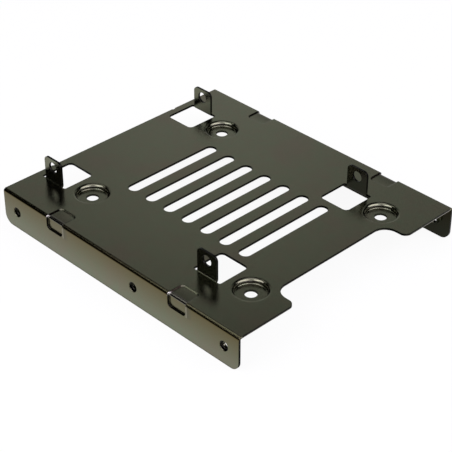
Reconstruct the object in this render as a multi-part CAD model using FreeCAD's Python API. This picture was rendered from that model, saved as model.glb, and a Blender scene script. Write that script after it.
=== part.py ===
import FreeCAD, Part
import os
from math import cos, radians, sin

# Drive bay adapter panel, folded from one sheet of steel.
# Millimetres. X runs across the bay, Y along the side flanges, Z up.
# The panel stands on the lower edges of its flanges at Z 0. The front edge with the two ears faces -Y.

# Sheet and folds
SHEET = 0.8
BEND_INNER = 0.3
WIDTH = 101.6
LENGTH = 115.0
FLANGE_HEIGHT = 13.35
FLANGE_CORNER_R = 3.5

# Recess in the front edge, between the ears
RECESS_WIDTH = 52.7
RECESS_DEPTH = 9.25
EAR_CORNER_R = 2.5
RECESS_ROOT_R = 5.0

# Small cropping nicks in the back edge
NICK_SPACING = 57.0
NICK_WIDTH = 1.5
NICK_DEPTH = 0.4

# Upright tabs that hold the upper drive by its sides
TAB_GAP = 70.0
TAB_WIDTH = 8.8
TAB_HEIGHT = 9.0
TAB_CORNER_R = 1.8
TAB_BEND_INNER = 0.5
TAB_HOLE_D = 4.0
TAB_HOLE_HEIGHT = 5.75
TAB_SPACING = 76.6
TAB_FRONT_DISTANCE = 29.5

# Windows that the tabs are lanced from
WINDOW_LENGTH = 12.2
WINDOW_WIDTH = 12.8
WINDOW_PAST_TAB = 0.2
WINDOW_CORNER_R = 1.7
WINDOW_RELIEF_R = 0.7

# Round dimples that sink the screw heads of the lower drive
DIMPLE_SPACING_X = 61.72
DIMPLE_SPACING_Y = 76.6
DIMPLE_FRONT_DISTANCE = 14.75
DIMPLE_WALL_D = 10.6
DIMPLE_DEPTH = 1.7
DIMPLE_RIM_R = 1.2
DIMPLE_FLOOR_R = 0.3
DIMPLE_HOLE_D = 4.25

# Ventilation slots
SLOT_COUNT = 7
SLOT_PITCH = 9.0
SLOT_LENGTH = 40.5
SLOT_WIDTH = 4.5
SLOT_FRONT_DISTANCE = 30.0

# Tapped holes in the flanges, drawn inwards to a short collar; the bore is the root of the thread
FLANGE_HOLE_D = 3.5
FLANGE_HOLE_MOUTH_R = 0.25
FLANGE_HOLE_HEIGHT = 6.7
FLANGE_HOLE_FRONT_DISTANCE = 6.5
FLANGE_HOLE_MIDDLE_STEP = 41.61
FLANGE_HOLE_LAST_STEP = 60.0
COLLAR_WALL = 0.6
COLLAR_HEIGHT = 1.4

# Square pockets over the bends, pressed inwards: shallow and sloping on the plate, steep on the flange
POCKET_SPACING = 60.0
POCKET_LENGTH = 8.2
POCKET_REACH_PLATE = 6.7
POCKET_REACH_FLANGE = 5.1
POCKET_CORNER_R = 1.4
POCKET_DEPTH_PLATE = 0.35
POCKET_DEPTH_FLANGE = 0.7
POCKET_RUN_PLATE = 0.5
POCKET_RUN_FLANGE = 0.1
POCKET_FOLD_R = 0.9
POCKET_BACK_GROWTH = 0.5

# Places that follow from the sizes above
BEND_OUTER = BEND_INNER + SHEET
HALF_WIDTH = WIDTH / 2
FRONT = -LENGTH / 2
BACK = LENGTH / 2
TOP = FLANGE_HEIGHT
UNDERSIDE = TOP - SHEET
BEND_X = HALF_WIDTH - BEND_OUTER
BEND_Z = TOP - BEND_OUTER
TAB_FACE = TAB_GAP / 2
TAB_BACK = TAB_FACE + SHEET
TAB_FOLD_X = TAB_BACK + TAB_BEND_INNER
TAB_ROWS = [FRONT + TAB_FRONT_DISTANCE, FRONT + TAB_FRONT_DISTANCE + TAB_SPACING]
FLANGE_HOLE_ROWS = [
    FRONT + FLANGE_HOLE_FRONT_DISTANCE,
    FRONT + FLANGE_HOLE_FRONT_DISTANCE + FLANGE_HOLE_MIDDLE_STEP,
    FRONT + FLANGE_HOLE_FRONT_DISTANCE + FLANGE_HOLE_MIDDLE_STEP + FLANGE_HOLE_LAST_STEP,
]
DIMPLE_ROWS = [FRONT + DIMPLE_FRONT_DISTANCE, FRONT + DIMPLE_FRONT_DISTANCE + DIMPLE_SPACING_Y]

# How far a cutting tool stands clear of the surface it enters
CLEAR = 1.0
SAME_POINT = 1e-6
SIDES = (-1, 1)

X_AXIS = FreeCAD.Vector(1, 0, 0)
Y_AXIS = FreeCAD.Vector(0, 1, 0)
Z_AXIS = FreeCAD.Vector(0, 0, 1)


def stretch(piece, point):
    """Start, end and edges of one piece of an outline, in the plane that point(a, b) maps to.

    A piece is a corner (a, b) or an arc (centre, radius, first angle, last angle).
    """
    if len(piece) == 2:
        corner = point(*piece)
        return corner, corner, []
    (a, b), radius, first, last = piece
    turns = [radians(angle) for angle in (first, (first + last) / 2, last)]
    bow = [point(a + radius * cos(turn), b + radius * sin(turn)) for turn in turns]
    return bow[0], bow[2], [Part.Arc(*bow).toShape()]


def chain(pieces, point):
    """Closed wire through corners and arcs, with straight edges between them."""
    stretches = [stretch(piece, point) for piece in pieces]
    edges = []
    for (start, end, bow), following in zip(stretches, stretches[1:] + stretches[:1]):
        edges += bow
        if end.distanceToPoint(following[0]) > SAME_POINT:
            edges.append(Part.LineSegment(end, following[0]).toShape())
    return Part.Wire(edges)


def across(y):
    """Point maker for sections at one Y."""
    return lambda x, z: FreeCAD.Vector(x, y, z)


def plan(z):
    """Point maker for outlines at one height."""
    return lambda x, y: FreeCAD.Vector(x, y, z)


def side(x):
    """Point maker for side outlines at one X."""
    return lambda y, z: FreeCAD.Vector(x, y, z)


def folded_channel():
    """Plate and two flanges as one bent section, drawn out along Y."""
    section = chain([
        (-HALF_WIDTH, 0),
        ((-BEND_X, BEND_Z), BEND_OUTER, 180, 90),
        ((BEND_X, BEND_Z), BEND_OUTER, 90, 0),
        (HALF_WIDTH, 0),
        (HALF_WIDTH - SHEET, 0),
        ((BEND_X, BEND_Z), BEND_INNER, 0, 90),
        ((-BEND_X, BEND_Z), BEND_INNER, 90, 180),
        (SHEET - HALF_WIDTH, 0),
    ], across(FRONT))
    return Part.Face(section).extrude(Y_AXIS * LENGTH)


def flange_outline():
    """Side view of the flanges, with both lower corners rounded."""
    r = FLANGE_CORNER_R
    outline = chain([
        (FRONT, TOP + CLEAR),
        ((FRONT + r, r), r, 180, 270),
        ((BACK - r, r), r, 270, 360),
        (BACK, TOP + CLEAR),
    ], side(-HALF_WIDTH - CLEAR))
    return Part.Face(outline).extrude(X_AXIS * (WIDTH + 2 * CLEAR))


def front_recess():
    """Void between the ears: rounded ear corners that sweep back into large root radii."""
    half = RECESS_WIDTH / 2
    root_y = FRONT + RECESS_DEPTH
    ear_y = FRONT + EAR_CORNER_R
    outline = chain([
        (-half - EAR_CORNER_R, FRONT - CLEAR),
        ((-half - EAR_CORNER_R, ear_y), EAR_CORNER_R, 270, 360),
        ((-half + RECESS_ROOT_R, root_y - RECESS_ROOT_R), RECESS_ROOT_R, 180, 90),
        ((half - RECESS_ROOT_R, root_y - RECESS_ROOT_R), RECESS_ROOT_R, 90, 0),
        ((half + EAR_CORNER_R, ear_y), EAR_CORNER_R, 180, 270),
        (half + EAR_CORNER_R, FRONT - CLEAR),
    ], plan(UNDERSIDE - CLEAR))
    return Part.Face(outline).extrude(Z_AXIS * (SHEET + 2 * CLEAR))


def back_nick(x):
    """Shallow round nick left where two cropping cuts of the back edge meet."""
    half = NICK_WIDTH / 2
    r = (half ** 2 + NICK_DEPTH ** 2) / (2 * NICK_DEPTH)
    base = FreeCAD.Vector(x, BACK - NICK_DEPTH + r, UNDERSIDE - CLEAR)
    return Part.makeCylinder(r, SHEET + 2 * CLEAR, base, Z_AXIS)


def vent_slot(y):
    """Full-round slot across the plate."""
    r = SLOT_WIDTH / 2
    reach = SLOT_LENGTH / 2 - r
    outline = chain([
        ((-reach, y), r, 90, 270),
        ((reach, y), r, -90, 90),
    ], plan(UNDERSIDE - CLEAR))
    return Part.Face(outline).extrude(Z_AXIS * (SHEET + 2 * CLEAR))


def window(sign, y):
    """Opening inboard of a tab, out to the line where the tab's fold begins.

    The inner corners are large, and small relief corners stand beside the fold.
    """
    outer = TAB_BACK + WINDOW_PAST_TAB
    inner = outer - WINDOW_WIDTH
    low = y - WINDOW_LENGTH / 2
    high = y + WINDOW_LENGTH / 2
    big = WINDOW_CORNER_R
    small = WINDOW_RELIEF_R
    outline = chain([
        ((inner + big, low + big), big, 180, 270),
        ((outer - small, low + small), small, 270, 360),
        (outer, y - TAB_WIDTH / 2),
        (TAB_FOLD_X, y - TAB_WIDTH / 2),
        (TAB_FOLD_X, y + TAB_WIDTH / 2),
        (outer, y + TAB_WIDTH / 2),
        ((outer - small, high - small), small, 0, 90),
        ((inner + big, high - big), big, 90, 180),
    ], plan(UNDERSIDE - CLEAR))
    void = Part.Face(outline).extrude(Z_AXIS * (SHEET + 2 * CLEAR))
    return void if sign > 0 else void.mirror(FreeCAD.Vector(), X_AXIS)


def upright_tab(sign, y):
    """Tab folded up out of its window, with a clearance hole and two rounded top corners."""
    fold = (TAB_FOLD_X, TOP + TAB_BEND_INNER)
    tip = TOP + TAB_HEIGHT
    section = chain([
        (TAB_FOLD_X, UNDERSIDE),
        (fold, TAB_BEND_INNER + SHEET, 270, 180),
        (TAB_FACE, tip),
        (TAB_BACK, tip),
        (fold, TAB_BEND_INNER, 180, 270),
    ], across(y - TAB_WIDTH / 2))
    tab = Part.Face(section).extrude(Y_AXIS * TAB_WIDTH)

    half = TAB_WIDTH / 2
    r = TAB_CORNER_R
    outline = chain([
        (y - half, UNDERSIDE - CLEAR),
        (y + half, UNDERSIDE - CLEAR),
        ((y + half - r, tip - r), r, 0, 90),
        ((y - half + r, tip - r), r, 90, 180),
    ], side(TAB_FACE - CLEAR))
    tab = tab.common(Part.Face(outline).extrude(X_AXIS * (TAB_FOLD_X - TAB_FACE + 2 * CLEAR)))

    start = FreeCAD.Vector(TAB_FACE - CLEAR, y, TOP + TAB_HOLE_HEIGHT)
    tab = tab.cut(Part.makeCylinder(TAB_HOLE_D / 2, SHEET + 2 * CLEAR, start, X_AXIS))
    return tab if sign > 0 else tab.mirror(FreeCAD.Vector(), X_AXIS)


def dimple_reach():
    """Radius at which the dimple's rim curve leaves the flat plate."""
    return DIMPLE_WALL_D / 2 + DIMPLE_RIM_R


def dimple_blank(x, y):
    """Disc of flat plate that the dimple takes the place of."""
    return Part.makeCylinder(dimple_reach(), SHEET, FreeCAD.Vector(x, y, UNDERSIDE), Z_AXIS)


def dimple(x, y):
    """Round cup of even wall thickness, turned about its screw hole.

    Underneath, its wall meets the plate in a sharp inner corner.
    """
    wall = DIMPLE_WALL_D / 2
    floor = TOP - DIMPLE_DEPTH
    rim = (dimple_reach(), TOP - DIMPLE_RIM_R)
    foot = (wall - DIMPLE_FLOOR_R, floor + DIMPLE_FLOOR_R)
    hole = DIMPLE_HOLE_D / 2
    section = chain([
        (rim, DIMPLE_RIM_R, 90, 180),
        (foot, DIMPLE_FLOOR_R, 360, 270),
        (hole, floor),
        (hole, floor - SHEET),
        (foot, DIMPLE_FLOOR_R + SHEET, 270, 360),
        (wall + SHEET, UNDERSIDE),
        (dimple_reach(), UNDERSIDE),
    ], lambda r, z: FreeCAD.Vector(x + r, y, z))
    return Part.Face(section).revolve(FreeCAD.Vector(x, y, 0), Z_AXIS, 360)


def flange_hole(sign, y):
    """Bore through flange and collar, with the rounded mouth that the drawing punch leaves."""
    r = FLANGE_HOLE_D / 2
    mouth = FLANGE_HOLE_MOUTH_R
    inner = HALF_WIDTH - SHEET - COLLAR_HEIGHT - CLEAR
    section = chain([
        (inner, 0),
        (inner, r),
        ((HALF_WIDTH - mouth, r + mouth), mouth, 270, 360),
        (HALF_WIDTH + CLEAR, r + mouth),
        (HALF_WIDTH + CLEAR, 0),
    ], lambda x, z: FreeCAD.Vector(x, y, FLANGE_HOLE_HEIGHT + z))
    centre = FreeCAD.Vector(0, y, FLANGE_HOLE_HEIGHT)
    bore = Part.Face(section).revolve(centre, X_AXIS, 360)
    return bore if sign > 0 else bore.mirror(FreeCAD.Vector(), X_AXIS)


def flange_collar(sign, y):
    """Short drawn collar on the inner face of a flange, with a hollow curve at its root."""
    foot_r = FLANGE_HOLE_D / 2 + COLLAR_WALL
    inner_face = HALF_WIDTH - SHEET
    root = COLLAR_WALL / 2
    section = chain([
        (inner_face + SHEET / 2, 0),
        (inner_face + SHEET / 2, foot_r + root),
        ((inner_face - root, foot_r + root), root, 0, -90),
        (inner_face - COLLAR_HEIGHT, foot_r),
        (inner_face - COLLAR_HEIGHT, 0),
    ], lambda x, z: FreeCAD.Vector(x, y, FLANGE_HOLE_HEIGHT + z))
    centre = FreeCAD.Vector(0, y, FLANGE_HOLE_HEIGHT)
    collar = Part.Face(section).revolve(centre, X_AXIS, 360)
    return collar if sign > 0 else collar.mirror(FreeCAD.Vector(), X_AXIS)


def pocket_rim(point, start, reach, growth):
    """Outline of one wing of a pocket, open towards the bend and grown all round.

    It is drawn at (distance from the panel's outer corner, distance along Y).
    """
    half = POCKET_LENGTH / 2 + growth
    end = reach + growth
    r = POCKET_CORNER_R + growth
    return chain([
        (start, -half),
        ((end - r, r - half), r, 270, 360),
        ((end - r, half - r), r, 0, 90),
        (start, half),
    ], point)


def pocket_wing(level_point, skin, depth, run, rise, start, reach, growth):
    """One wing of a pocket, from its sunk floor out past the sheet's skin. Its walls lean by their run."""
    rims = [
        pocket_rim(level_point(skin + offset), start, reach, growth + run / depth * offset)
        for offset in (-depth, rise)
    ]
    return Part.makeLoft(rims, True, True)


def pocket_wings(sign, y, sunk, rise, start, growth):
    """Both wings of a pocket, pressed into the skins that lie sunk below the outer ones."""
    def on_plate(z):
        return lambda a, b: FreeCAD.Vector(HALF_WIDTH - a, y + b, z)

    def on_flange(x):
        return lambda a, b: FreeCAD.Vector(x, y + b, TOP - a)

    wings = [
        pocket_wing(
            on_plate, TOP - sunk, POCKET_DEPTH_PLATE, POCKET_RUN_PLATE,
            rise, start, POCKET_REACH_PLATE, growth,
        ),
        pocket_wing(
            on_flange, HALF_WIDTH - sunk, POCKET_DEPTH_FLANGE, POCKET_RUN_FLANGE,
            rise, start, POCKET_REACH_FLANGE, growth,
        ),
    ]
    if sign < 0:
        wings = [wing.mirror(FreeCAD.Vector(), X_AXIS) for wing in wings]
    return wings


def pocket_void(sign, y):
    """Space pressed out of the outer skins of plate, bend and flange."""
    return pocket_wings(sign, y, 0, CLEAR, -CLEAR, 0)


def pocket_fold(sign, y):
    """Corner of metal outside the round fold of a pocket's floor."""
    r = POCKET_FOLD_R
    half = POCKET_LENGTH / 2 - POCKET_RUN_PLATE
    x = HALF_WIDTH - POCKET_DEPTH_FLANGE
    z = TOP - POCKET_DEPTH_PLATE
    section = chain([
        ((x - r, z - r), r, 0, 90),
        (x, z),
    ], across(y - half))
    corner = Part.Face(section).extrude(Y_AXIS * 2 * half)
    return corner if sign > 0 else corner.mirror(FreeCAD.Vector(), X_AXIS)


def pocket_bulge(sign, y):
    """The same pressing seen from inside: it stands out of the inner skins and is a little larger."""
    return pocket_wings(sign, y, SHEET, SHEET / 2, SHEET / 2, POCKET_BACK_GROWTH)


def adapter_panel():
    """The whole folded panel as one solid."""
    panel = folded_channel().common(flange_outline())

    voids = [front_recess()]
    voids += [back_nick(sign * NICK_SPACING / 2) for sign in SIDES]
    first_slot = FRONT + SLOT_FRONT_DISTANCE
    voids += [vent_slot(first_slot + number * SLOT_PITCH) for number in range(SLOT_COUNT)]
    voids += [window(sign, y) for sign in SIDES for y in TAB_ROWS]
    dimples = [(sign * DIMPLE_SPACING_X / 2, y) for sign in SIDES for y in DIMPLE_ROWS]
    voids += [dimple_blank(x, y) for x, y in dimples]
    panel = panel.cut(voids)

    pockets = [(sign, row * POCKET_SPACING / 2) for sign in SIDES for row in SIDES]
    holes = [(sign, y) for sign in SIDES for y in FLANGE_HOLE_ROWS]
    additions = [upright_tab(sign, y) for sign in SIDES for y in TAB_ROWS]
    additions += [dimple(x, y) for x, y in dimples]
    additions += [wing for sign, y in pockets for wing in pocket_bulge(sign, y)]
    additions += [flange_collar(sign, y) for sign, y in holes]
    panel = panel.fuse(additions)

    openings = [wing for sign, y in pockets for wing in pocket_void(sign, y)]
    openings += [pocket_fold(sign, y) for sign, y in pockets]
    openings += [flange_hole(sign, y) for sign, y in holes]
    return panel.cut(openings).removeSplitter()


os.makedirs("parts", exist_ok=True)
panel = adapter_panel()
solid = panel.Solids[0]
box = solid.BoundBox
print("solids", len(panel.Solids), "valid", solid.isValid(), "volume", round(solid.Volume, 1))
print("box", [round(v, 3) for v in (box.XMin, box.YMin, box.ZMin, box.XMax, box.YMax, box.ZMax)])
solid.exportStep("parts/adapter_panel.step")
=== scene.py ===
from math import asin, atan2, degrees, pi, radians, sin, cos

import bmesh
import bpy
from mathutils import Matrix, Vector


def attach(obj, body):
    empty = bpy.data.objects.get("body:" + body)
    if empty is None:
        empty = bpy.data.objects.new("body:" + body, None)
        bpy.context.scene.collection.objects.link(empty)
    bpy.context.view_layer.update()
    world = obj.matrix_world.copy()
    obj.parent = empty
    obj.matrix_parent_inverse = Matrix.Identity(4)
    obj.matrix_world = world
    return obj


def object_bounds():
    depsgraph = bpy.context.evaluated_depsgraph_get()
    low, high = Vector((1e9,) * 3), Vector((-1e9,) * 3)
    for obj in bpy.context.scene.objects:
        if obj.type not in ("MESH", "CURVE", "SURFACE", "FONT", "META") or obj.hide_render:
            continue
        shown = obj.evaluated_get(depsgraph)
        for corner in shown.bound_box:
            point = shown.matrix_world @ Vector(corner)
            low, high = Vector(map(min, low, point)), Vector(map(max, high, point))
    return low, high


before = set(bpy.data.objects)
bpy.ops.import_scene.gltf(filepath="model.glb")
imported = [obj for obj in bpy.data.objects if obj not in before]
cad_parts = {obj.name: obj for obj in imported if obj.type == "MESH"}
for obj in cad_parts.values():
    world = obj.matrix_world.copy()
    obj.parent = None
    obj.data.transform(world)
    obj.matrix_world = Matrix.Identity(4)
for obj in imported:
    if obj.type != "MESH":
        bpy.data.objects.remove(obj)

cad_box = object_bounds()
MM = 0.001


# The folded panel
# One 0.8 mm steel sheet, punched, lanced and folded, then plated and blackened all over to a satin film.
# The film has a green and brown cast, is darker and browner under the folds and black on the punched faces.
SHEET = 0.8 * MM
PLATE_TOP = 13.35 * MM
HALF_WIDTH = cad_box[1][0]
FILM_GREEN = (0.143, 0.161, 0.106, 1.0)
FILM_WARM = (0.156, 0.152, 0.104, 1.0)
FILM_FOLD = (0.102, 0.081, 0.031, 1.0)
FILM_PINK = (0.168, 0.144, 0.106, 1.0)
# Painted shade on the pocket floors and beside the flange pockets' near rims.
POCKET_PAINTED_SHADE = (0.078, 0.077, 0.052, 1.0)
# Dark brown painted shade on the pockets' back walls.
BACK_WALL_PAINTED_SHADE = (0.045, 0.028, 0.022, 1.0)
CUT_BLACK = (0.012, 0.012, 0.010, 1.0)
# Near-black painted shade for dark rims, the steepest dimple walls and the threads.
PAINTED_SHADE_BLACK = (0.020, 0.020, 0.016, 1.0)
BURR_STEEL = (0.30, 0.28, 0.24, 1.0)
# Painted highlight in the pockets' creases, at their back corners and on their near rims.
PAINTED_HIGHLIGHT_STEEL = (0.60, 0.58, 0.55, 1.0)


def new_group(name, inputs, outputs):
    """Shader node group with number outputs. Its inputs are given as (name, kind, default)."""
    group = bpy.data.node_groups.new(name, "ShaderNodeTree")
    for socket_name, kind, default in inputs:
        socket = group.interface.new_socket(socket_name, in_out="INPUT", socket_type="NodeSocket" + kind)
        if default is not None:
            socket.default_value = default
    for socket_name in outputs:
        group.interface.new_socket(socket_name, in_out="OUTPUT", socket_type="NodeSocketFloat")
    start = group.nodes.new("NodeGroupInput")
    end = group.nodes.new("NodeGroupOutput")
    return group, start.outputs, end.inputs


def feed(tree, value, socket):
    """Link a socket, or set a plain number on it."""
    if isinstance(value, bpy.types.NodeSocket):
        tree.links.new(value, socket)
    else:
        socket.default_value = value


def noise(tree, vector, scale, detail, roughness):
    """Noise texture read at a vector socket."""
    node = tree.nodes.new("ShaderNodeTexNoise")
    node.inputs["Detail"].default_value = detail
    node.inputs["Roughness"].default_value = roughness
    tree.links.new(vector, node.inputs["Vector"])
    feed(tree, scale, node.inputs["Scale"])
    return node.outputs["Fac"]


def map_range(tree, value, low, high, new_low=0.0, new_high=1.0):
    """Value carried from one range to another, held at its ends."""
    node = tree.nodes.new("ShaderNodeMapRange")
    for name, given in (("Value", value), ("From Min", low), ("From Max", high)):
        feed(tree, given, node.inputs[name])
    node.inputs["To Min"].default_value = new_low
    node.inputs["To Max"].default_value = new_high
    return node.outputs["Result"]


def calc(tree, operation, first, second=0.0):
    """Result of one math node."""
    node = tree.nodes.new("ShaderNodeMath")
    node.operation = operation
    feed(tree, first, node.inputs[0])
    feed(tree, second, node.inputs[1])
    return node.outputs[0]


def size_of(tree, value):
    """Value without its sign."""
    return calc(tree, "ABSOLUTE", value)


def plus(tree, first, second):
    """Sum of two values."""
    return calc(tree, "ADD", first, second)


def minus(tree, first, second):
    """First value less the second."""
    return calc(tree, "SUBTRACT", first, second)


def times(tree, first, *others):
    """Product of two or more values."""
    for other in others:
        first = calc(tree, "MULTIPLY", first, other)
    return first


def larger(tree, first, *others):
    """Largest of two or more values."""
    for other in others:
        first = calc(tree, "MAXIMUM", first, other)
    return first


def is_over(tree, value, limit):
    """1 where a value is over a limit."""
    return calc(tree, "GREATER_THAN", value, limit)


def is_under(tree, value, limit):
    """1 where a value is under a limit."""
    return calc(tree, "LESS_THAN", value, limit)


def band(tree, value, rise, fall):
    """1 on a stretch of a value. Each soft end is given from where it is 0 to where it is 1."""
    return times(tree, map_range(tree, value, *rise), map_range(tree, value, *fall))


def mix_color(tree, share, first, second):
    """Two colours or colour sockets mixed by a share."""
    node = tree.nodes.new("ShaderNodeMix")
    node.data_type = "RGBA"
    tree.links.new(share, node.inputs["Factor"])
    colors = [socket for socket in node.inputs if socket.type == "RGBA"]
    feed(tree, first, colors[0])
    feed(tree, second, colors[1])
    return [socket for socket in node.outputs if socket.type == "RGBA"][0]


def split(tree, vector):
    """X, Y and Z of a vector socket."""
    node = tree.nodes.new("ShaderNodeSeparateXYZ")
    tree.links.new(vector, node.inputs["Vector"])
    return node.outputs["X"], node.outputs["Y"], node.outputs["Z"]


NOISE_RANGE = (0.3, 0.7)
NOISE_MIDDLE = 0.5


def cloudy_film():
    """Group: broad clouds of slightly uneven film, smaller mottles, and the fine grain of the sheet."""
    group, given, result = new_group(
        "cloudy_film",
        [("Vector", "Vector", None), ("Cloud Scale", "Float", 55.0), ("Mottle Scale", "Float", 420.0),
         ("Peel Scale", "Float", 9000.0)],
        ["Cloud", "Mottle", "Peel"],
    )
    vector = given["Vector"]
    cloud = noise(group, vector, given["Cloud Scale"], detail=4.0, roughness=0.55)
    mottle = noise(group, vector, given["Mottle Scale"], detail=3.0, roughness=0.6)
    peel = noise(group, vector, given["Peel Scale"], detail=2.0, roughness=0.5)
    group.links.new(map_range(group, cloud, *NOISE_RANGE), result["Cloud"])
    group.links.new(map_range(group, mottle, *NOISE_RANGE), result["Mottle"])
    group.links.new(peel, result["Peel"])
    return group


FACE_SLACK = 0.01 * MM
TAB_START = 0.9 * MM
LIP_HEIGHT = 0.22 * MM
CUT_TILT = 0.4
LIP_FACING = 0.6


def sheared_edge():
    """Group: 1 on the punched and cropped faces of the sheet, found by place and by which way they face."""
    group, given, result = new_group(
        "sheared_edge",
        [("Position", "Vector", None), ("Normal", "Vector", None), ("Plate Top", "Float", PLATE_TOP),
         ("Sheet", "Float", SHEET), ("Half Width", "Float", HALF_WIDTH)],
        ["Edge", "Lower Lip"],
    )
    x, y, z = split(group, given["Position"])
    across, along, up = [size_of(group, part) for part in split(group, given["Normal"])]
    underside = minus(group, given["Plate Top"], given["Sheet"])
    flange = minus(group, given["Half Width"], given["Sheet"])
    bend = minus(group, flange, given["Sheet"])
    out = size_of(group, x)

    above = is_over(group, z, minus(group, underside, FACE_SLACK))
    below = is_under(group, z, plus(group, given["Plate Top"], FACE_SLACK))
    plate = times(group, above, below, is_under(group, out, bend), is_under(group, up, CUT_TILT))

    tab = is_over(group, z, plus(group, given["Plate Top"], TAB_START))
    rim = times(group, is_over(group, out, flange), is_under(group, z, underside))
    standing = times(group, larger(group, tab, rim), is_under(group, across, CUT_TILT))
    group.links.new(larger(group, plate, standing), result["Edge"])

    lip = is_under(group, z, plus(group, underside, LIP_HEIGHT))
    group.links.new(times(group, plate, lip, is_over(group, along, LIP_FACING)), result["Lower Lip"])
    return group


CREST_DEPTHS = (0.25 * MM, 0.55 * MM)
CREST_TINT = 0.5
IN_FADE_SHARE = 2.0
CORNER_FADE_SHARE = 1.35


def fold_band():
    """Group: 1 under the folds, fading down the flanges and half on the crests, and 1 on the corners."""
    group, given, result = new_group(
        "fold_band",
        [("Position", "Vector", None), ("Plate Top", "Float", PLATE_TOP),
         ("Half Width", "Float", HALF_WIDTH), ("Down", "Float", 11.0 * MM), ("In", "Float", 0.6 * MM),
         ("Corner Size", "Float", 1.3 * MM)],
        ["Fold", "Corner"],
    )
    x, y, z = split(group, given["Position"])
    down = minus(group, given["Plate Top"], z)
    inward = minus(group, given["Half Width"], size_of(group, x))
    low = map_range(group, down, given["Down"], 0.0)
    crest = map_range(group, down, *CREST_DEPTHS, CREST_TINT, 1.0)
    near = map_range(group, inward, times(group, given["In"], IN_FADE_SHARE), given["In"])
    group.links.new(times(group, low, crest, near), result["Fold"])
    corner_start = times(group, given["Corner Size"], CORNER_FADE_SHARE)
    high = map_range(group, down, corner_start, given["Corner Size"])
    outer = map_range(group, inward, corner_start, given["Corner Size"])
    group.links.new(times(group, high, outer), result["Corner"])
    return group


# Rises and falls are places along Y from a pocket's middle, and starts are places across from the
# panel's middle. Depths are below the plate's top, and setbacks are past the start of the fold.
POCKET_TOP_DEPTH = 1.2 * MM
DUSK_START = 44.6 * MM
BACK_WALL_RISE = (3.5 * MM, 3.7 * MM)
BACK_WALL_FALL = (4.3 * MM, 4.1 * MM)
BACK_WALL_START = 45.3 * MM
CORNER_SETBACK = 0.4 * MM
CREASE_SETBACK = -0.3 * MM
CREASE_HIGHLIGHT = 0.16
FLANK_START = 50.6 * MM
FLANK_DEPTHS = (0.6 * MM, 5.1 * MM)
NEAR_RIM_RISE = (-4.9 * MM, -4.7 * MM)
NEAR_RIM_FALL = (-4.1 * MM, -4.2 * MM)
NEAR_RIM_HIGHLIGHT = 0.14
BESIDE_RISE = (-7.0 * MM, -4.9 * MM)
BESIDE_FALL = (-4.7 * MM, -4.9 * MM)
BESIDE_SHADE = 0.9


def pocket_zone():
    """Group: masks on the four pressed pockets.

    Zone is 1 in and round them, and Soft where their rims are round. Back Wall is painted shade on the wall
    behind, and Shade painted shade on their floors towards the fold and beside the flange pockets' near
    rims.
    The last output is painted highlight on the crease along the fold, the back corner and those near rims.
    """
    group, given, result = new_group(
        "pocket_zone",
        [("Position", "Vector", None), ("Inboard", "Float", 43.0 * MM), ("Fold", "Float", 49.2 * MM),
         ("Row", "Float", 30.0 * MM), ("Half Length", "Float", 5.0 * MM),
         ("Near End", "Float", 3.85 * MM)],
        ["Zone", "Soft", "Shade", "Back Wall", "Painted Highlight"],
    )
    x, y, z = split(group, given["Position"])
    out = size_of(group, x)
    ahead = minus(group, y, times(group, calc(group, "SIGN", y), given["Row"]))
    length = size_of(group, ahead)
    zone = times(group, is_over(group, out, given["Inboard"]), is_under(group, length, given["Half Length"]))
    group.links.new(zone, result["Zone"])
    soft = larger(group, is_under(group, out, given["Fold"]), is_over(group, length, given["Near End"]))
    group.links.new(times(group, zone, soft), result["Soft"])

    upper = times(group, zone, is_over(group, z, PLATE_TOP - POCKET_TOP_DEPTH))
    floor = times(group, upper, is_under(group, length, given["Near End"]))
    # Painted shade: the pocket floors darken towards the fold.
    dusk = times(group, floor, map_range(group, out, DUSK_START, given["Fold"]))
    # Painted shade on the back wall of each pocket, short of the fold.
    behind = band(group, ahead, BACK_WALL_RISE, BACK_WALL_FALL)
    back = times(group, upper, behind, is_over(group, out, BACK_WALL_START))
    folded = is_over(group, out, plus(group, given["Fold"], CORNER_SETBACK))
    creased = is_over(group, out, plus(group, given["Fold"], CREASE_SETBACK))
    group.links.new(times(group, back, minus(group, 1.0, folded)), result["Back Wall"])

    # Painted highlights: the crease along the fold, the back corner at the fold and the flange pockets' near
    # rims.
    crease = times(group, floor, creased, CREASE_HIGHLIGHT)
    high, low = [PLATE_TOP - depth for depth in FLANK_DEPTHS]
    flank = times(group, is_over(group, out, FLANK_START), is_under(group, z, high), is_over(group, z, low))
    near_rim = times(group, flank, band(group, ahead, NEAR_RIM_RISE, NEAR_RIM_FALL), NEAR_RIM_HIGHLIGHT)
    group.links.new(larger(group, times(group, back, folded), crease, near_rim), result["Painted Highlight"])
    # Painted shade in a band beside the flange pockets' near rims.
    beside = times(group, flank, band(group, ahead, BESIDE_RISE, BESIDE_FALL), BESIDE_SHADE)
    group.links.new(larger(group, dusk, beside), result["Shade"])
    return group


DIMPLE_BAND_FADE = 0.15 * MM


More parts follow.
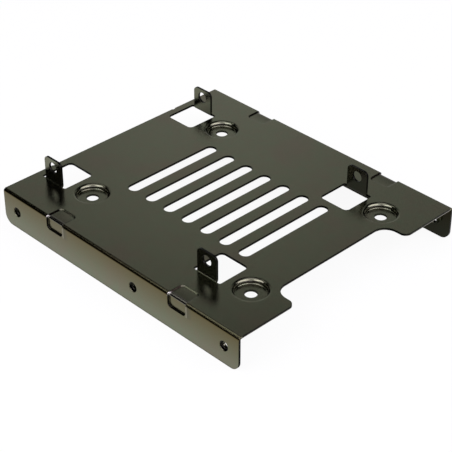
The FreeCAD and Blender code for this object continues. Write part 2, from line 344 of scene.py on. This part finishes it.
def dimple_zone():
    """Group: 1 on the walls of the four drive dimples, and 1 on their steepest band, which gets painted
    shade.
    """
    group, given, result = new_group(
        "dimple_zone",
        [("Position", "Vector", None), ("Side", "Float", 30.86 * MM), ("Middle", "Float", -4.45 * MM),
         ("Half Spacing", "Float", 38.3 * MM), ("Inner", "Float", 3.0 * MM), ("Outer", "Float", 7.0 * MM),
         ("Band Foot", "Float", 11.93 * MM), ("Band Top", "Float", 12.40 * MM)],
        ["Wall", "Band"],
    )
    x, y, z = split(group, given["Position"])
    across = minus(group, size_of(group, x), given["Side"])
    along = minus(group, size_of(group, minus(group, y, given["Middle"])), given["Half Spacing"])
    away = calc(group, "SQRT", plus(group, times(group, across, across), times(group, along, along)))
    wall = times(group, is_under(group, away, given["Outer"]), is_over(group, away, given["Inner"]))
    group.links.new(wall, result["Wall"])
    band_end = plus(group, given["Band Top"], DIMPLE_BAND_FADE)
    top = map_range(group, z, band_end, given["Band Top"])
    group.links.new(times(group, wall, is_over(group, z, given["Band Foot"]), top), result["Band"])
    return group


CLOUDY_FILM = cloudy_film()
SHEARED_EDGE = sheared_edge()
FOLD_BAND = fold_band()
POCKET_ZONE = pocket_zone()
DIMPLE_ZONE = dimple_zone()

BEVEL_SAMPLES = 6
EDGE_RADII = (0.12 * MM, 0.4 * MM)
RIM_SHADE_RADIUS = 0.3 * MM
RIM_SHADE_LIKENESS = (0.985, 0.88)
CLOUD_RANGE = (0.55, 0.95)
CLOUD_TINT = 0.6
POCKET_SHADE_SHARE = 0.8
DIMPLE_SHADE_SHARE = 0.85
CUT_DULLNESS = 0.2
GRAIN_HEIGHT = 0.014 * MM
CORNER_GRAIN = 0.25


def use_group(tree, group, **sockets):
    """Outputs of a shader group placed in a material, with the given inputs linked or set."""
    node = tree.nodes.new("ShaderNodeGroup")
    node.node_tree = group
    for name, value in sockets.items():
        feed(tree, value, node.inputs[name.replace("_", " ")])
    return node.outputs


def rounded_normal(tree):
    """Bevel node, which rounds the edges of the look alone."""
    node = tree.nodes.new("ShaderNodeBevel")
    node.samples = BEVEL_SAMPLES
    return node


def blackened_steel(name, tones, cloud_scale, cloud_roughness, rim_shade_share):
    """Black satin film on steel. Two of its tones are for mottles, one is for folds and one for clouds."""
    material = bpy.data.materials.new(name)
    material.use_nodes = True
    tree = material.node_tree
    shader = tree.nodes["Principled BSDF"]
    shader.inputs["Metallic"].default_value = 1.0
    place = tree.nodes.new("ShaderNodeTexCoord")
    position = place.outputs["Object"]
    film = use_group(tree, CLOUDY_FILM, Vector=position, Cloud_Scale=cloud_scale)
    cut = use_group(tree, SHEARED_EDGE, Position=position, Normal=place.outputs["Normal"])
    fold = use_group(tree, FOLD_BAND, Position=position)
    pocket = use_group(tree, POCKET_ZONE, Position=position)
    dimple = use_group(tree, DIMPLE_ZONE, Position=position)

    edge = rounded_normal(tree)
    soft = larger(tree, pocket["Soft"], dimple["Wall"])
    tree.links.new(map_range(tree, soft, 0.0, 1.0, *EDGE_RADII), edge.inputs["Radius"])
    # Painted shade on rims, where a normal rounded over 0.3 mm turns away from the true one.
    around = rounded_normal(tree)
    around.inputs["Radius"].default_value = RIM_SHADE_RADIUS
    likeness = tree.nodes.new("ShaderNodeVectorMath")
    likeness.operation = "DOT_PRODUCT"
    tree.links.new(around.outputs["Normal"], likeness.inputs[0])
    tree.links.new(tree.nodes.new("ShaderNodeNewGeometry").outputs["True Normal"], likeness.inputs[1])
    smooth = larger(tree, pocket["Zone"], fold["Corner"], dimple["Wall"])
    rim_shade = map_range(tree, likeness.outputs["Value"], *RIM_SHADE_LIKENESS, 0.0, rim_shade_share)
    rim_shade = times(tree, rim_shade, minus(tree, 1.0, smooth))

    first_tone, second_tone, fold_tone, cloud_tone = tones
    tone = mix_color(tree, film["Mottle"], first_tone, second_tone)
    layers = (
        (map_range(tree, film["Cloud"], *CLOUD_RANGE, 0.0, CLOUD_TINT), cloud_tone),
        (fold["Fold"], fold_tone),
        (times(tree, pocket["Shade"], POCKET_SHADE_SHARE), POCKET_PAINTED_SHADE),
        (times(tree, pocket["Back Wall"], POCKET_SHADE_SHARE), BACK_WALL_PAINTED_SHADE),
        (pocket["Painted Highlight"], PAINTED_HIGHLIGHT_STEEL),
        # Painted shade on the steepest band of the dimple walls.
        (times(tree, dimple["Band"], DIMPLE_SHADE_SHARE), PAINTED_SHADE_BLACK),
        (rim_shade, PAINTED_SHADE_BLACK),
        (cut["Edge"], CUT_BLACK),
        (cut["Lower Lip"], BURR_STEEL),
    )
    for share, color in layers:
        tone = mix_color(tree, share, tone, color)
    tree.links.new(tone, shader.inputs["Base Color"])

    rough = map_range(tree, film["Cloud"], 0.0, 1.0, *cloud_roughness)
    rough = plus(tree, rough, times(tree, cut["Edge"], CUT_DULLNESS))
    tree.links.new(rough, shader.inputs["Roughness"])

    bump = tree.nodes.new("ShaderNodeBump")
    bump.inputs["Strength"].default_value = 1.0
    bump.inputs["Distance"].default_value = GRAIN_HEIGHT
    grain = minus(tree, film["Peel"], NOISE_MIDDLE)
    flattened = map_range(tree, fold["Corner"], 0.0, 1.0, 1.0, CORNER_GRAIN)
    tree.links.new(times(tree, grain, flattened), bump.inputs["Height"])
    tree.links.new(edge.outputs["Normal"], bump.inputs["Normal"])
    tree.links.new(bump.outputs["Normal"], shader.inputs["Normal"])
    return material


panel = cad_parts["adapter_panel"]
sheet_film = blackened_steel(
    "blackened_sheet", (FILM_GREEN, FILM_WARM, FILM_FOLD, FILM_PINK),
    cloud_scale=55.0, cloud_roughness=(0.13, 0.17), rim_shade_share=0.9,
)
for slot in panel.material_slots:
    slot.material = sheet_film


# Threads of the six flange holes
# Right-hand 6-32 threads tapped through flange and collar, blackened with the panel and much darker, as
# painted shade in the holes. The bores of the solid are the threads' roots, and the ridges stand in from
# them.
THREAD_PITCH = 0.794 * MM
THREAD_ROOT_R = 1.78 * MM
THREAD_CREST_R = 1.45 * MM
THREAD_ROOT_HALF = 0.34 * MM
THREAD_CREST_HALF = 0.06 * MM
THREAD_START = 49.05 * MM
THREAD_TURNS = 1.25
THREAD_STEPS = 72
HOLE_HEIGHT = 6.7 * MM
FIRST_HOLE = -51.0 * MM
HOLE_STEPS = {"front": 0.0, "middle": 41.61 * MM, "back": 101.61 * MM}
THREAD_BLACK_AND_SHADE = (0.030, 0.028, 0.022, 1.0)

thread_film_and_shade = blackened_steel(
    "blackened_thread_and_shade", (PAINTED_SHADE_BLACK, THREAD_BLACK_AND_SHADE, PAINTED_SHADE_BLACK, THREAD_BLACK_AND_SHADE),
    cloud_scale=140.0, cloud_roughness=(0.24, 0.32), rim_shade_share=0.4,
)


def plain_mesh(name, bm, material):
    """Object made of a finished bmesh and one material."""
    mesh = bpy.data.meshes.new(name)
    bm.to_mesh(mesh)
    bm.free()
    mesh.materials.append(material)
    obj = bpy.data.objects.new(name, mesh)
    bpy.context.scene.collection.objects.link(obj)
    return obj


def thread_ridge(name, sign, y):
    """Ridge of one thread, wound along X. The left one is the right one turned, so both are right-hand."""
    bm = bmesh.new()
    first = THREAD_START + THREAD_ROOT_HALF
    profile = [(-THREAD_ROOT_HALF, THREAD_ROOT_R), (-THREAD_CREST_HALF, THREAD_CREST_R),
               (THREAD_CREST_HALF, THREAD_CREST_R), (THREAD_ROOT_HALF, THREAD_ROOT_R)]
    section = bm.faces.new([bm.verts.new((first + along, 0, r)) for along, r in profile])
    advance = Vector((THREAD_PITCH * THREAD_TURNS / THREAD_STEPS, 0, 0))
    bmesh.ops.spin(
        bm, geom=[section], cent=(0, 0, 0), axis=(1, 0, 0), dvec=advance,
        angle=2 * pi * THREAD_TURNS, steps=THREAD_STEPS, use_duplicate=False,
    )
    bmesh.ops.recalc_face_normals(bm, faces=bm.faces)
    turn = Matrix.Identity(4) if sign > 0 else Matrix.Rotation(pi, 4, "Z")
    bmesh.ops.transform(bm, matrix=Matrix.Translation((0, y, HOLE_HEIGHT)) @ turn, verts=bm.verts)
    for face in bm.faces:
        face.smooth = True
    return plain_mesh(name, bm, thread_film_and_shade)


for side_name, sign in (("left", -1), ("right", 1)):
    for row_name, step in HOLE_STEPS.items():
        ridge = thread_ridge("thread_%s_%s" % (side_name, row_name), sign, FIRST_HOLE + step)
        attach(ridge, "root")


# Floor and room
# A matte white table top in a plain white room. The camera sees it almost evenly white, with a faint shadow.
# The film mirrors it as a small table, with painted shade under the panel and painted darkness past its
# edge.
HALF_LENGTH = cad_box[1][1]
FLOOR_SIZE = 8.0
FLOOR_GAP = 0.02 * MM
FLOOR_WHITE = (0.9, 0.9, 0.9, 1.0)
FLOOR_GLOW_SHARE = 0.93
SHADE_GLOW = 0.1
SHADE_EDGE = 0.5 * MM
SHADE_REACH = (85.0 * MM, 57.0 * MM)
TABLE_EDGE = (22.0 * MM, 42.0 * MM)
ROOM_FLOOR_GLOW = 0.02
ROOM_WHITE = (1.0, 1.0, 1.0, 1.0)
ROOM_LIGHT = 0.55


def ray_kind(tree, *names):
    """1 for camera rays or other named kinds of ray, 0 for the rest."""
    path = tree.nodes.new("ShaderNodeLightPath").outputs
    return larger(tree, *[path[name] for name in names])


def white_table():
    """Matte white, glowing for rays that the eye follows, and for gloss only near the panel."""
    material = bpy.data.materials.new("white_table")
    material.use_nodes = True
    tree = material.node_tree
    tree.nodes.clear()
    out = tree.nodes.new("ShaderNodeOutputMaterial")
    matte = tree.nodes.new("ShaderNodeBsdfDiffuse")
    matte.inputs["Color"].default_value = FLOOR_WHITE
    glow = tree.nodes.new("ShaderNodeEmission")
    blend = tree.nodes.new("ShaderNodeMixShader")
    seen = ray_kind(tree, "Is Camera Ray", "Is Glossy Ray", "Is Transmission Ray")
    tree.links.new(times(tree, seen, FLOOR_GLOW_SHARE), blend.inputs["Fac"])
    tree.links.new(matte.outputs["BSDF"], blend.inputs[1])
    tree.links.new(glow.outputs["Emission"], blend.inputs[2])
    tree.links.new(blend.outputs["Shader"], out.inputs["Surface"])

    # Painted shade for gloss only: dim under, before and behind the panel, and nearly dark past the table's
    # edge.
    x, y, z = split(tree, tree.nodes.new("ShaderNodeTexCoord").outputs["Object"])
    across = size_of(tree, x)
    along = size_of(tree, y)
    beside = map_range(tree, across, HALF_WIDTH + SHADE_EDGE, HALF_WIDTH - SHADE_EDGE)
    covered = times(tree, beside, map_range(tree, along, *SHADE_REACH))
    shaded = map_range(tree, covered, 0.0, 1.0, 1.0, SHADE_GLOW)
    away = larger(tree, minus(tree, across, HALF_WIDTH), minus(tree, along, HALF_LENGTH))
    table = map_range(tree, away, *TABLE_EDGE, 1.0, ROOM_FLOOR_GLOW)
    dimmed = times(tree, minus(tree, 1.0, times(tree, shaded, table)), ray_kind(tree, "Is Glossy Ray"))
    tree.links.new(minus(tree, 1.0, dimmed), glow.inputs["Strength"])
    return material


bm = bmesh.new()
bmesh.ops.create_grid(bm, x_segments=1, y_segments=1, size=FLOOR_SIZE / 2)
floor = plain_mesh("floor", bm, white_table())
floor.location.z = -FLOOR_GAP

world = bpy.data.worlds.new("studio")
bpy.context.scene.world = world
world.use_nodes = True
tree = world.node_tree
room = tree.nodes["Background"]
room.inputs["Color"].default_value = ROOM_WHITE
seen = ray_kind(tree, "Is Camera Ray", "Is Glossy Ray", "Is Transmission Ray")
tree.links.new(map_range(tree, seen, 0.0, 1.0, ROOM_LIGHT, 1.0), room.inputs["Strength"])


# Studio tent
# Pale card behind the panel, two strip lamps, tinted reflectors and black cloth, which only gloss sees.
# Heights are degrees above the table, and turns are degrees to the right of straight behind the panel.
TENT_RADIUS = 3.0
TENT_SEGMENTS = 180
BEHIND_TURN = radians(44.33)
BEHIND = Vector((sin(BEHIND_TURN), cos(BEHIND_TURN), 0))
LAMP_COLOR = (0.92, 0.86, 1.0)
CARD_GLOW = (0.57, 0.43)
CARD_FADE = (0.05, 0.15)
CARD_DIM_LEVELS = (0.53, 0.64)
CARD_TOP_SHARE = 0.5
CARD_TOP = 42.0
CARD_FOOT_TOP = 26.0
CARD_FOOT_SIDE = 17.0
CARD_SIDE = 45.0
CLOTH_GLOW = 0.004
STRIP_GLOW = 1.25
STRIP_TURNS = (-58.0, -18.0)
STRIP_HEIGHTS = (55.0, 63.0)
LOW_STRIP_GLOW = 1.9
LOW_STRIP_TURNS = (-82.0, -70.0)
LOW_STRIP_HEIGHTS = (43.5, 54.0)
REFLECTOR_GLOW = 1.25
REFLECTOR_GAP = (-128.0, 98.0)
REFLECTOR_FOOT = 12.0
REFLECTOR_CAP = 75.0
WING_TURN = -102.0
WING_FOOT = 42.0


def glowing(name, middle, outer, top_share=1.0, color=(1.0, 1.0, 1.0)):
    """Material that glows, with one strength straight behind the panel and another to its sides."""
    material = bpy.data.materials.new(name)
    material.use_nodes = True
    tree = material.node_tree
    tree.nodes.clear()
    out = tree.nodes.new("ShaderNodeOutputMaterial")
    glow = tree.nodes.new("ShaderNodeEmission")
    glow.inputs["Color"].default_value = (*color, 1.0)
    tree.links.new(glow.outputs["Emission"], out.inputs["Surface"])
    x, y, z = split(tree, tree.nodes.new("ShaderNodeTexCoord").outputs["Object"])
    aside = minus(tree, times(tree, x, BEHIND.y), times(tree, y, BEHIND.x))
    spread = calc(tree, "DIVIDE", size_of(tree, aside), TENT_RADIUS)
    level = calc(tree, "DIVIDE", z, TENT_RADIUS)
    strength = map_range(tree, spread, *CARD_FADE, middle, outer)
    dimming = map_range(tree, level, *CARD_DIM_LEVELS, 1.0, top_share)
    tree.links.new(times(tree, strength, dimming), glow.inputs["Strength"])
    return material


def lies_in(value, limits):
    """Whether a number lies between two limits."""
    return limits[0] < value < limits[1]


def tent_part(way):
    """Name of what hangs in a direction from the panel."""
    height = degrees(asin(way.z))
    turn = degrees(atan2(way.dot(BEHIND.cross(Vector((0, 0, 1)))), way.dot(BEHIND)))
    if lies_in(turn, STRIP_TURNS) and lies_in(height, STRIP_HEIGHTS):
        return "strip_lamp"
    if lies_in(turn, LOW_STRIP_TURNS) and lies_in(height, LOW_STRIP_HEIGHTS):
        return "low_strip_lamp"
    over_foot = height > REFLECTOR_FOOT and not lies_in(turn, REFLECTOR_GAP)
    on_wing = height > WING_FOOT and turn < WING_TURN
    if height > REFLECTOR_CAP or over_foot or on_wing:
        return "reflector"
    card_side = CARD_SIDE if height > CARD_FOOT_TOP else CARD_FOOT_SIDE
    if height > CARD_TOP or abs(turn) > card_side:
        return "black_cloth"
    return "pale_card"


def studio_tent():
    """Half dome that only gloss sees."""
    looks = {
        "pale_card": glowing("pale_card", *CARD_GLOW, CARD_TOP_SHARE),
        "black_cloth": glowing("black_cloth", CLOTH_GLOW, CLOTH_GLOW),
        "strip_lamp": glowing("strip_lamp", STRIP_GLOW, STRIP_GLOW),
        "low_strip_lamp": glowing("low_strip_lamp", LOW_STRIP_GLOW, LOW_STRIP_GLOW),
        "reflector": glowing("reflector", REFLECTOR_GLOW, REFLECTOR_GLOW, color=LAMP_COLOR),
    }
    part_names = list(looks)
    bm = bmesh.new()
    bmesh.ops.create_uvsphere(
        bm, u_segments=TENT_SEGMENTS, v_segments=TENT_SEGMENTS // 2, radius=TENT_RADIUS,
    )
    below = [face for face in bm.faces if face.calc_center_median().z < 0]
    bmesh.ops.delete(bm, geom=below, context="FACES")
    for face in bm.faces:
        way = face.calc_center_median().normalized()
        face.material_index = part_names.index(tent_part(way))
    tent = plain_mesh("studio_tent", bm, looks["pale_card"])
    for name in part_names[1:]:
        tent.data.materials.append(looks[name])
    tent.visible_camera = False
    tent.visible_diffuse = False
    tent.visible_shadow = False
    return tent


studio_tent()


# Soft lamps
# Two rectangular softboxes of a slightly violet white, one on each side of the camera.
# They cast the soft shadow on the table, and the film shows them as soft highlights.
SOFTBOX_HEIGHT = 0.75


def softbox(name, place, width, watts):
    """Rectangular soft lamp that faces the panel."""
    lamp = bpy.data.lights.new(name, "AREA")
    lamp.shape = "RECTANGLE"
    lamp.size = width
    lamp.size_y = SOFTBOX_HEIGHT
    lamp.energy = watts
    lamp.color = LAMP_COLOR
    obj = bpy.data.objects.new(name, lamp)
    bpy.context.scene.collection.objects.link(obj)
    obj.location = place
    obj.rotation_euler = (-obj.location).to_track_quat("-Z", "Y").to_euler()


softbox("softbox_left", place=(-0.95, 0.11, 0.85), width=1.0, watts=9.2)
softbox("softbox_right", place=(0.18, -0.94, 0.85), width=1.45, watts=12.0)


# Camera
# The photograph's viewing angle: over the front left corner, looking down by 34 degrees.
# Its place, turns and focal length were fitted to the panel's edges in the photograph.
CAMERA_PLACE = Vector((-292.27, -299.16, 285.89)) * MM
CAMERA_TURN = -44.3306
CAMERA_TILT = 34.1992
CAMERA_ROLL = 0.0947
FOCAL_PIXELS = 1466.07
PICTURE_PIXELS = 452

lens = bpy.data.cameras.new("camera")
lens.sensor_width = 36.0
lens.lens = FOCAL_PIXELS * lens.sensor_width / PICTURE_PIXELS
lens.clip_start = 0.01
lens.clip_end = 50.0
camera = bpy.data.objects.new("camera", lens)
bpy.context.scene.collection.objects.link(camera)
camera.matrix_world = (
    Matrix.Translation(CAMERA_PLACE)
    @ Matrix.Rotation(radians(CAMERA_TURN), 4, "Z")
    @ Matrix.Rotation(radians(90 - CAMERA_TILT), 4, "X")
    @ Matrix.Rotation(radians(CAMERA_ROLL), 4, "Z")
)
bpy.context.scene.camera = camera
bpy.context.scene.view_settings.view_transform = "Standard"
